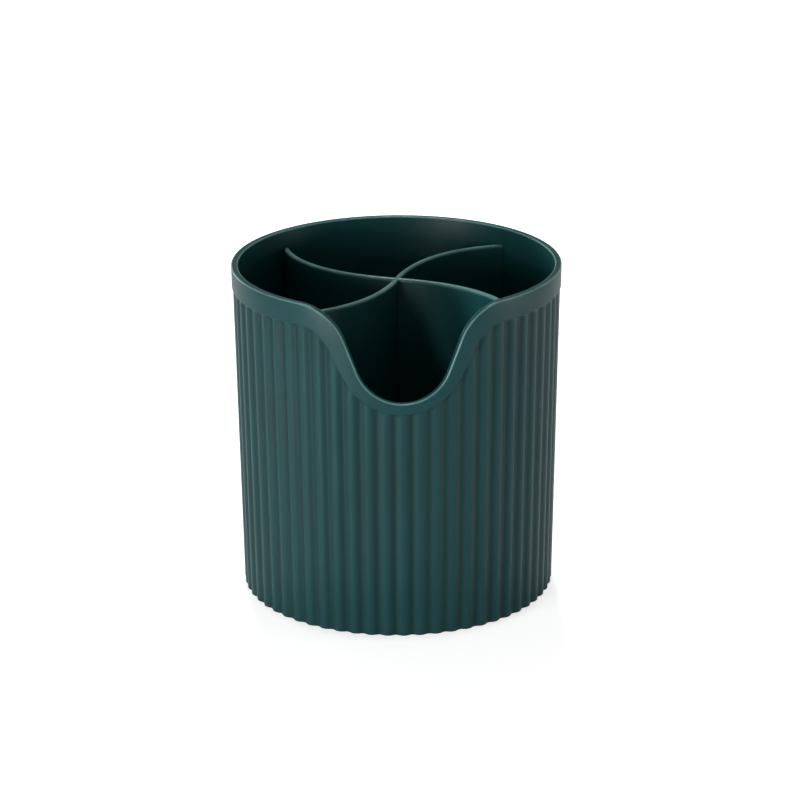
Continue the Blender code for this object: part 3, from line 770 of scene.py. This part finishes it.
    def section(self, turn):
        """Rows of (radius, height, angle, valley, edge) at an angle from the front."""
        size = self.size
        rows = []
        slotted = self.in_key_slot(turn)
        for (radius, height), in_ring in self.floor_rows:
            if in_ring:
                level = FLOOR_TOP if slotted else height
                rows.append((radius, level, self.key_turn(turn, radius), 0, 0))
            else:
                rows.append((radius, height, turn, 0, 0))
        across = abs(math.remainder(turn, 2 * math.pi)) * self.inner_rim
        rims = [line.height(across) for line in self.roll_lines]
        wall_start = rows[-1][1]
        for step in range(1, WALL_STEPS):
            height = wall_start + (rims[0] - wall_start) * step / WALL_STEPS
            rows.append((self.inner(height), height, turn, 0, 0))
        # The last value of each rounding row weights the painted highlight and the lower roughness.
        for (_, set_in, polish_and_highlight), height in zip(self.roll, rims):
            radius = self.inner(height) + set_in * size.edge_radius
            rows.append((radius, height, turn, 0, polish_and_highlight))
        for (_, set_in, polish_and_highlight), height in reversed(list(zip(self.roll, rims))):
            radius = self.outer(height) - set_in * size.edge_radius
            rows.append((radius, height, turn, 0, polish_and_highlight))
        band_end = self.band_end.height(across)
        rows.append((self.outer(band_end), band_end, turn, 0, 0))
        rows += self.fluted_rows(turn, across)
        rows += [(radius, height, turn, 0, 0) for radius, height in self.under_rows]
        return rows

    def fluted_rows(self, turn, across):
        """Rows of the band's edge, the flutes and the foot's outer rounding."""
        size = self.size
        valley = self.valley(turn)
        rows = []
        for part, line in zip(self.run_out, self.run_out_lines):
            height = line.height(across)
            fallen = min(part * size.flute_run_out / size.band_fillet, 1)
            step = size.band_proud * fallen * fallen * (3 - 2 * fallen)
            sunk = math.sqrt(1 - (1 - part) ** 2)
            narrow = valley ** (1 + 2 * (1 - sunk))
            depth = size.flute_depth * sunk * narrow
            rows.append((self.outer(height) - step - depth, height, turn, sunk * valley, 0))
        flute_top = rows[-1][1]
        foot_top = SKIRT_LIFT + size.foot_round
        depth = size.band_proud + size.flute_depth * valley
        for step in range(1, WALL_STEPS):
            height = flute_top + (foot_top - flute_top) * step / WALL_STEPS
            rows.append((self.outer(height) - depth, height, turn, valley, 0))
        for drop, set_in, _ in self.roll:
            height = SKIRT_LIFT + drop * size.foot_round
            radius = self.outer(height) - depth - set_in * size.foot_round
            rows.append((radius, height, turn, valley, 0))
        return rows


def track_half_width(base):
    """Half the width of a ball track with the lands beside it."""
    depth = RACE_RADIUS - base.race_depth
    return math.sqrt(RACE_RADIUS ** 2 - depth ** 2) + base.race_land


def fluted_cup(shape):
    """Spin one section round the axis, then bring each point to its own angle's section."""
    bm = bmesh.new()
    row = bm.verts.layers.int.new("row")
    valley = bm.verts.layers.float.new("valley")
    edge = bm.verts.layers.float.new("edge")
    steps = shape.size.flutes * COLUMNS_PER_FLUTE
    column_turn = 2 * math.pi / steps
    loop = []
    for number, (radius, height, _, _, _) in enumerate(shape.section(math.pi)):
        point = bm.verts.new((0, -radius, height))
        point[row] = number
        loop.append(point)
    line = [bm.edges.new(pair) for pair in zip(loop, loop[1:])]
    bmesh.ops.spin(bm, geom=loop + line, axis=UP, cent=ORIGIN, angle=2 * math.pi, steps=steps,
                   use_merge=True)
    sections = [shape.section(column * column_turn) for column in range(steps)]
    for point in bm.verts:
        column = round(math.atan2(point.co.x, -point.co.y) / column_turn) % steps
        radius, height, turn, point[valley], point[edge] = sections[column][point[row]]
        point.co = (radius * math.sin(turn), -radius * math.cos(turn), height)
    close_up(bm)
    return object_from(bm, "fluted_cup")


# Shapes of the other pieces

def blade(size, inner_rim, turn, name):
    """One upright S-shaped blade through the axis, with rounded edges."""
    reach = inner_rim + OVERRUN
    bm = bmesh.new()
    line = []
    for step in range(-BLADE_STEPS, BLADE_STEPS + 1):
        out = reach * step / BLADE_STEPS
        part = abs(out) / inner_rim
        sweep = size.sweep * (size.even_share * part + (1 - size.even_share) * part ** 2)
        angle_here = turn + size.start - sweep
        line.append(bm.verts.new((out * math.cos(angle_here), out * math.sin(angle_here), DIVIDER_LOW.z)))
    edges = [bm.edges.new(pair) for pair in zip(line, line[1:])]
    raised = bmesh.ops.extrude_edge_only(bm, edges=edges)["geom"]
    lifted = [item for item in raised if isinstance(item, bmesh.types.BMVert)]
    bmesh.ops.translate(bm, vec=(0, 0, DIVIDER_HIGH.z - DIVIDER_LOW.z), verts=lifted)
    made = object_from(bm, name)
    wall = made.modifiers.new("thickness", 'SOLIDIFY')
    wall.thickness = size.thickness
    wall.offset = 0
    wall.use_even_offset = True
    rounding = made.modifiers.new("edges", 'BEVEL')
    rounding.width = size.edge_radius
    rounding.segments = BLADE_EDGE_STEPS
    rounding.limit_method = 'ANGLE'
    rounding.angle_limit = math.radians(60)
    settle(made)
    return made


def curved_divider(size, shape):
    """Two crossing blades, trimmed to follow the cup's inside."""
    made = blade(size, shape.inner_rim, 0, "curved_divider")
    combine(made, blade(size, shape.inner_rim, math.pi / 2, "cross_blade"), 'UNION')
    top = DIVIDER_HIGH.z + OVERRUN
    foot = FLOOR_TOP + shape.size.floor_cove
    reach = shape.inner(foot) - size.side_gap
    below = shape.size.floor_cove + OVERRUN
    room = spun([
        (0, top),
        (shape.inner(top) - size.side_gap, top),
        (reach, foot),
        (reach - below, foot - below),
        (0, foot - below),
    ], TURN_STEPS)
    combine(made, object_from(room, "cup_room"), 'INTERSECT')
    return made


def turning_base(base, pivot, pads):
    """The base disc with its rim, lower ball track, hub, ribs, pad pockets and pin marks."""
    half_width = track_half_width(base)
    track_floor = BALL_HEIGHT - RACE_RADIUS
    track_face = track_floor + base.race_depth
    dip = math.asin((track_face - BALL_HEIGHT) / RACE_RADIUS)
    plate_top = BASE_BOTTOM + base.plate
    roof = BASE_BOTTOM + base.recess
    hole = pivot.shank_radius + 2 * TOUCH_GAP + pivot.spigot_wall
    well = WASHER_HIGH.x + pivot.washer_side_gap
    hub = well + base.hub_wall
    ledge = BASE_RADIUS - 2 * (PAD_RADIUS + TOUCH_GAP + base.pad_margin)
    fine = TOUCH_GAP
    corners = [
        (hole, WEB_BOTTOM + base.hub_web, fine),
        (hub, WEB_BOTTOM + base.hub_web, base.corner),
        (hub, plate_top, base.corner),
        (BEARING_RADIUS - half_width, plate_top, fine),
        (BEARING_RADIUS - half_width, track_face, fine),
    ]
    corners += arc((BEARING_RADIUS, BALL_HEIGHT), RACE_RADIUS, math.pi - dip, 2 * math.pi + dip,
                   RACE_STEPS)
    corners += [
        (BEARING_RADIUS + half_width, track_face, fine),
        (BEARING_RADIUS + half_width, plate_top, fine),
        (BASE_RADIUS - base.rim_wall, plate_top, base.corner),
        (BASE_RADIUS - base.rim_wall, BASE_HIGH.z, base.corner),
        (BASE_RADIUS, BASE_HIGH.z, base.corner),
        (BASE_RADIUS, BASE_BOTTOM, base.corner),
        (ledge, BASE_BOTTOM, fine),
        (ledge, roof, fine),
        (well, roof, base.corner),
        (well, WEB_BOTTOM, fine),
        (hole, WEB_BOTTOM, fine),
    ]
    made = object_from(spun(softened(corners, closed=True), TURN_STEPS, closed=True), "turning_base")
    ribs = bmesh.new()
    rib_start = hub - base.rib_thickness
    rib_end = BEARING_RADIUS - half_width + base.rib_thickness / 2
    rib_foot = plate_top - base.plate / 2
    rib_top = track_face - TOUCH_GAP
    for number in range(base.ribs):
        add_block(ribs, (rib_end - rib_start, base.rib_thickness, rib_top - rib_foot),
                  ((rib_end + rib_start) / 2, 0, (rib_top + rib_foot) / 2),
                  2 * math.pi * (number + 0.5) / base.ribs, base.corner / 2)
    combine(made, object_from(ribs, "ribs"), 'UNION')
    cuts = bmesh.new()
    for place in pads:
        add_drum(cuts, PAD_RADIUS + TOUCH_GAP, BASE_BOTTOM - OVERRUN, BASE_BOTTOM + base.pad_pocket,
                 place, SMALL_TURN_STEPS)
    ring = (ledge + hub) / 2
    for number in range(base.ribs):
        turn = 2 * math.pi * number / base.ribs
        add_drum(cuts, base.ejector_radius, roof - OVERRUN, roof + TOUCH_GAP / 2,
                 (ring * math.cos(turn), ring * math.sin(turn)), SMALL_TURN_STEPS // 2)
    combine(made, object_from(cuts, "pockets"), 'DIFFERENCE')
    return made


def rubber_pad(name, place):
    """A round pad with a rounded edge and two grip rings in its face."""
    groove = PAD_THICKNESS / 12
    corners = [(0, PAD_THICKNESS, 0), (PAD_RADIUS, PAD_THICKNESS, groove * 2), (PAD_RADIUS, 0, groove * 3)]
    for ring_share in (0.74, 0.40):
        middle = PAD_RADIUS * ring_share
        corners += [
            (middle + groove * 2, 0, groove),
            (middle + groove, groove, groove),
            (middle - groove, groove, groove),
            (middle - groove * 2, 0, groove),
        ]
    corners.append((0, 0, 0))
    bm = spun(softened(corners, steps=2), SMALL_TURN_STEPS)
    bmesh.ops.translate(bm, vec=(place[0], place[1], 0), verts=bm.verts)
    return object_from(bm, name)


def nylon_cage(base, places):
    """The flat ring that spaces the balls, with a round pocket for each."""
    inner = 2 * BEARING_RADIUS - CAGE_HIGH.x
    corner = base.corner
    corners = [
        (inner, CAGE_HIGH.z, corner),
        (CAGE_HIGH.x, CAGE_HIGH.z, corner),
        (CAGE_HIGH.x, CAGE_LOW.z, corner),
        (inner, CAGE_LOW.z, corner),
    ]
    made = object_from(spun(softened(corners, closed=True), TURN_STEPS, closed=True), "nylon_cage")
    pockets = bmesh.new()
    for place in places:
        add_drum(pockets, BALL_RADIUS + base.cage_clearance, CAGE_LOW.z - OVERRUN,
                 CAGE_HIGH.z + OVERRUN, place, SMALL_TURN_STEPS // 2)
    combine(made, object_from(pockets, "pockets"), 'DIFFERENCE')
    return made


def steel_ball(name, centre):
    bm = bmesh.new()
    bmesh.ops.create_uvsphere(bm, u_segments=BALL_SEGMENTS, v_segments=BALL_RINGS, radius=BALL_RADIUS)
    bmesh.ops.translate(bm, vec=centre, verts=bm.verts)
    return object_from(bm, name)


def zinc_washer(pivot):
    corner = (WASHER_HIGH.z - WASHER_LOW.z) / 5
    hole = pivot.shank_radius + TOUCH_GAP
    corners = [
        (hole, WASHER_HIGH.z, corner),
        (WASHER_HIGH.x, WASHER_HIGH.z, corner),
        (WASHER_HIGH.x, WASHER_LOW.z, corner),
        (hole, WASHER_LOW.z, corner),
    ]
    return object_from(spun(softened(corners, closed=True), SMALL_TURN_STEPS, closed=True), "zinc_washer")


def zinc_screw(pivot):
    """A pan-head screw with a wound thread and a cross recess, driven upwards."""
    head_top = SCREW_LOW.z + pivot.head_height
    thread_top = SCREW_HIGH.z - pivot.point
    rows = round((thread_top - head_top) / pivot.thread_pitch * THREAD_STEPS)
    outline = [(0, SCREW_HIGH.z), (pivot.shank_radius / 2, SCREW_HIGH.z)]
    outline += [(pivot.shank_radius, thread_top + (head_top - thread_top) * row / rows)
                for row in range(rows + 1)]
    outline += softened([
        (pivot.shank_radius, head_top, 0),
        (SCREW_HIGH.x, head_top, pivot.head_crown / 3),
        (SCREW_HIGH.x, SCREW_LOW.z, pivot.head_crown),
        (0, SCREW_LOW.z, 0),
    ], steps=2 * CORNER_STEPS)[1:]
    bm = spun(outline, SMALL_TURN_STEPS)
    for point in bm.verts:
        radius = point.co.xy.length
        threaded = head_top + pivot.thread_pitch / 2 < point.co.z < thread_top
        if threaded and math.isclose(radius, pivot.shank_radius, rel_tol=0.001):
            phase = (point.co.z / pivot.thread_pitch - math.atan2(point.co.y, point.co.x) / (2 * math.pi)) % 1
            cut = pivot.thread_depth * (1 - abs(2 * phase - 1)) ** 0.6
            point.co.xy *= 1 - cut / radius
    made = object_from(bm, "zinc_screw")
    for turn in (0, math.pi / 2):
        cross = bmesh.new()
        add_block(cross, (pivot.drive_length, pivot.drive_width, pivot.drive_depth + OVERRUN),
                  (0, 0, SCREW_LOW.z + (pivot.drive_depth - OVERRUN) / 2), turn)
        combine(made, object_from(cross, "cross"), 'DIFFERENCE')
    return made


def middle_of(node):
    low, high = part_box(node)
    return (low + high) / 2


# Operators

class HolderOperator:
    """What the operators share."""

    bl_options = {'REGISTER', 'UNDO'}

    def shape_of(self, context):
        holder = context.scene.brush_holder
        return CupShape(holder.cup, holder.divider, holder.base, holder.pivot)


class BRUSHHOLDER_OT_cup(HolderOperator, Operator):
    """Build the fluted cup with its scooped rim, floor and skirt"""

    bl_idname = "brushholder.cup"
    bl_label = "Fluted cup"

    def execute(self, context):
        look = context.scene.brush_holder.finish
        made = fluted_cup(self.shape_of(context))
        finish = finish_for("satin_cup_plastic", satin_cup_plastic, look)
        complete(made, finish, "cup", "cup_plastic", "cup_shell")
        return {'FINISHED'}


class BRUSHHOLDER_OT_divider(HolderOperator, Operator):
    """Build the four-way divider with its curved blades"""

    bl_idname = "brushholder.divider"
    bl_label = "Curved divider"

    def execute(self, context):
        holder = context.scene.brush_holder
        made = curved_divider(holder.divider, self.shape_of(context))
        finish = finish_for("satin_divider_plastic", divider_plastic, holder.finish)
        complete(made, finish, "divider", "divider_plastic", "divider_insert")
        return {'FINISHED'}


class BRUSHHOLDER_OT_base(HolderOperator, Operator):
    """Build the base disc with its ball track, hub, ribs and pad pockets"""

    bl_idname = "brushholder.base"
    bl_label = "Turning base"

    def execute(self, context):
        holder = context.scene.brush_holder
        made = turning_base(holder.base, holder.pivot, [middle_of(name) for name in FEET])
        finish = finish_for("textured_base_plastic", base_plastic, holder.finish)
        complete(made, finish, "base", "base_plastic", "base_disc")
        return {'FINISHED'}


class BRUSHHOLDER_OT_pads(HolderOperator, Operator):
    """Build the rubber pads that the holder stands on"""

    bl_idname = "brushholder.pads"
    bl_label = "Rubber pads"

    def execute(self, context):
        look = context.scene.brush_holder.finish
        finish = finish_for("pad_rubber", rubber, look)
        for number, name in enumerate(FEET):
            made = rubber_pad("rubber_pad_%d" % (number + 1), middle_of(name))
            complete(made, finish, "base", "pad_rubber", name)
        return {'FINISHED'}


class BRUSHHOLDER_OT_bearing(HolderOperator, Operator):
    """Build the ball cage and the steel balls"""

    bl_idname = "brushholder.bearing"
    bl_label = "Ball bearing"

    def execute(self, context):
        holder = context.scene.brush_holder
        steel = finish_for("polished_steel", polished_steel, holder.finish)
        for number, name in enumerate(BALLS):
            made = steel_ball("steel_ball_%02d" % (number + 1), middle_of(name))
            complete(made, steel, "cage", "ball_steel", name)
        cage = nylon_cage(holder.base, [middle_of(name) for name in BALLS])
        complete(cage, finish_for("cage_nylon", nylon, holder.finish), "cage", "cage_plastic", "ball_cage")
        return {'FINISHED'}


class BRUSHHOLDER_OT_pivot(HolderOperator, Operator):
    """Build the screw and the washer that hold the cup on the base"""

    bl_idname = "brushholder.pivot"
    bl_label = "Pivot screw and washer"

    def execute(self, context):
        holder = context.scene.brush_holder
        look = holder.finish
        washer_zinc = finish_for("washer_zinc", zinc_plate, look, "washer_zinc", 5200.0)
        screw_zinc = finish_for("screw_zinc", zinc_plate, look, "screw_zinc", 3400.0)
        complete(zinc_washer(holder.pivot), washer_zinc, "cup", "washer_steel", "thrust_washer")
        complete(zinc_screw(holder.pivot), screw_zinc, "cup", "screw_steel", "pivot_screw")
        return {'FINISHED'}


class BRUSHHOLDER_OT_studio(Operator):
    """Set up the pale floor, the soft lamps, the room's light and the camera"""

    bl_idname = "brushholder.studio"
    bl_label = "Studio"
    bl_options = {'REGISTER', 'UNDO'}

    def execute(self, context):
        studio = context.scene.brush_holder.studio
        context.scene.view_settings.view_transform = 'Standard'
        lay_floor(studio)
        light_room(context.scene, studio)
        hang_lamps(studio)
        place_camera(context.scene, studio)
        return {'FINISHED'}


# Studio

CEILING_START = 0.0
CEILING_FULL = 0.14
LAMPS = (
    # name, turn to the left of the scoop in degrees, height, distance, width, tall, power setting
    ("left_softbox", 47, 0.12, 1.2, 0.20, 0.22, "key_power"),
    ("front_softbox", 31, 0.28, 1.2, 0.12, 0.20, "front_power"),
    ("right_softbox", -78, 0.12, 1.2, 0.22, 0.22, "fill_power"),
    ("back_softbox", 135, 0.14, 1.2, 0.30, 0.24, "back_power"),
    ("high_softbox", 176, 1.10, 0.50, 0.24, 0.24, "high_power"),
)


def seen_rays(sheet):
    """The rays that show the background: those of the camera, and those in gloss and glass."""
    camera = sheet.node('ShaderNodeLightPath', output="Is Camera Ray")
    glossy = sheet.node('ShaderNodeLightPath', output="Is Glossy Ray")
    through = sheet.node('ShaderNodeLightPath', output="Is Transmission Ray")
    return camera, glossy + through


def lay_floor(studio):
    bm = bmesh.new()
    bmesh.ops.create_circle(bm, cap_ends=True, segments=96, radius=studio.floor_radius)
    floor = object_from(bm, "floor")
    finish = Finish("pale_floor", roughness=0.9)
    finish.shader.inputs["Base Color"].default_value = shade(studio.floor_pale, 1.0)
    finish.shader.inputs["Specular IOR Level"].default_value = 0.0
    finish.shader.inputs["Emission Color"].default_value = (1, 1, 1, 1)
    camera, mirrored = seen_rays(finish)
    white = camera * studio.floor_lift + mirrored * studio.floor_gloss
    finish.plug(finish.shader.inputs["Emission Strength"], white)
    floor.data.materials.append(finish.material)


def light_room(scene, studio):
    """A room that is white as it is seen, with soft light from its walls and a dim ceiling."""
    world = bpy.data.worlds.new("white_room")
    world.use_nodes = True
    sheet = NodeSheet(world.node_tree)
    direction = sheet.node('ShaderNodeTexCoord', output="Generated")
    rise = sheet.node('ShaderNodeSeparateXYZ', None, {0: direction}, output="Z")
    low = 1 - sheet.ramp(rise, CEILING_START, CEILING_FULL)
    camera, mirrored = seen_rays(sheet)
    lit = studio.room_ceiling + low * (studio.room_walls - studio.room_ceiling)
    white = camera + mirrored * low
    background = sheet.tree.nodes["Background"]
    background.inputs["Color"].default_value = (1, 1, 1, 1)
    sheet.plug(background.inputs["Strength"], lit + white * (1 - lit))
    scene.world = world


def hang_lamps(studio):
    for name, turn, height, distance, width, tall, power in LAMPS:
        lamp = bpy.data.lights.new(name, 'AREA')
        lamp.shape = 'RECTANGLE'
        lamp.size = width
        lamp.size_y = tall
        lamp.energy = getattr(studio, power)
        hung = bpy.data.objects.new(name, lamp)
        side = math.radians(turn)
        hung.location = (-distance * math.sin(side), -distance * math.cos(side), height)
        aim = Vector((0, 0, studio.target_height)) - hung.location
        hung.rotation_euler = aim.to_track_quat('-Z', 'Y').to_euler()
        bpy.context.scene.collection.objects.link(hung)


def place_camera(scene, studio):
    """Stand the camera where the photograph was taken from."""
    pitch = studio.camera_pitch
    ahead = Vector((0, math.cos(pitch), -math.sin(pitch)))
    above = Vector((0, math.sin(pitch), math.cos(pitch)))
    right = Vector((1, 0, 0))
    roll = studio.camera_roll
    across = right * math.cos(roll) + above * math.sin(roll)
    upward = above * math.cos(roll) - right * math.sin(roll)
    target = Vector((studio.target_side, 0, studio.target_height))
    place = target - ahead * studio.camera_distance
    stand = Matrix((across, upward, -ahead)).transposed().to_4x4()
    stand.translation = place
    data = bpy.data.cameras.new("photo_camera")
    data.lens = studio.lens
    data.sensor_width = 36.0
    data.clip_start = 0.05
    camera = bpy.data.objects.new("photo_camera", data)
    camera.matrix_world = Matrix.Rotation(studio.camera_turn, 4, 'Z') @ stand
    scene.collection.objects.link(camera)
    scene.camera = camera


class BRUSHHOLDER_PT_sidebar(Panel):
    """Lists the holder's pieces and their settings in the 3D view's sidebar"""

    bl_label = "Brush holder"
    bl_idname = "BRUSHHOLDER_PT_sidebar"
    bl_space_type = 'VIEW_3D'
    bl_region_type = 'UI'
    bl_category = "Brush holder"

    def draw(self, context):
        holder = context.scene.brush_holder
        for step in STEPS:
            self.layout.operator(step.bl_idname)
        for group in (holder.cup, holder.divider, holder.base, holder.pivot, holder.finish, holder.studio):
            box = self.layout.box()
            for name in group.bl_rna.properties.keys():
                if name not in ("rna_type", "name"):
                    box.prop(group, name)


STEPS = (
    BRUSHHOLDER_OT_cup,
    BRUSHHOLDER_OT_divider,
    BRUSHHOLDER_OT_base,
    BRUSHHOLDER_OT_pads,
    BRUSHHOLDER_OT_bearing,
    BRUSHHOLDER_OT_pivot,
    BRUSHHOLDER_OT_studio,
)
GROUPS = (CupSizes, DividerSizes, BaseSizes, PivotSizes, Finishes, StudioSettings, HolderSettings)


def register():
    for kind in GROUPS + STEPS + (BRUSHHOLDER_PT_sidebar,):
        bpy.utils.register_class(kind)
    bpy.types.Scene.brush_holder = PointerProperty(type=HolderSettings)


def unregister():
    del bpy.types.Scene.brush_holder
    for kind in reversed(GROUPS + STEPS + (BRUSHHOLDER_PT_sidebar,)):
        bpy.utils.unregister_class(kind)


def main():
    register()
    bpy.ops.brushholder.cup()
    bpy.ops.brushholder.divider()
    bpy.ops.brushholder.base()
    bpy.ops.brushholder.pads()
    bpy.ops.brushholder.bearing()
    bpy.ops.brushholder.pivot()
    bpy.ops.brushholder.studio()


if __name__ == "__main__":
    main()
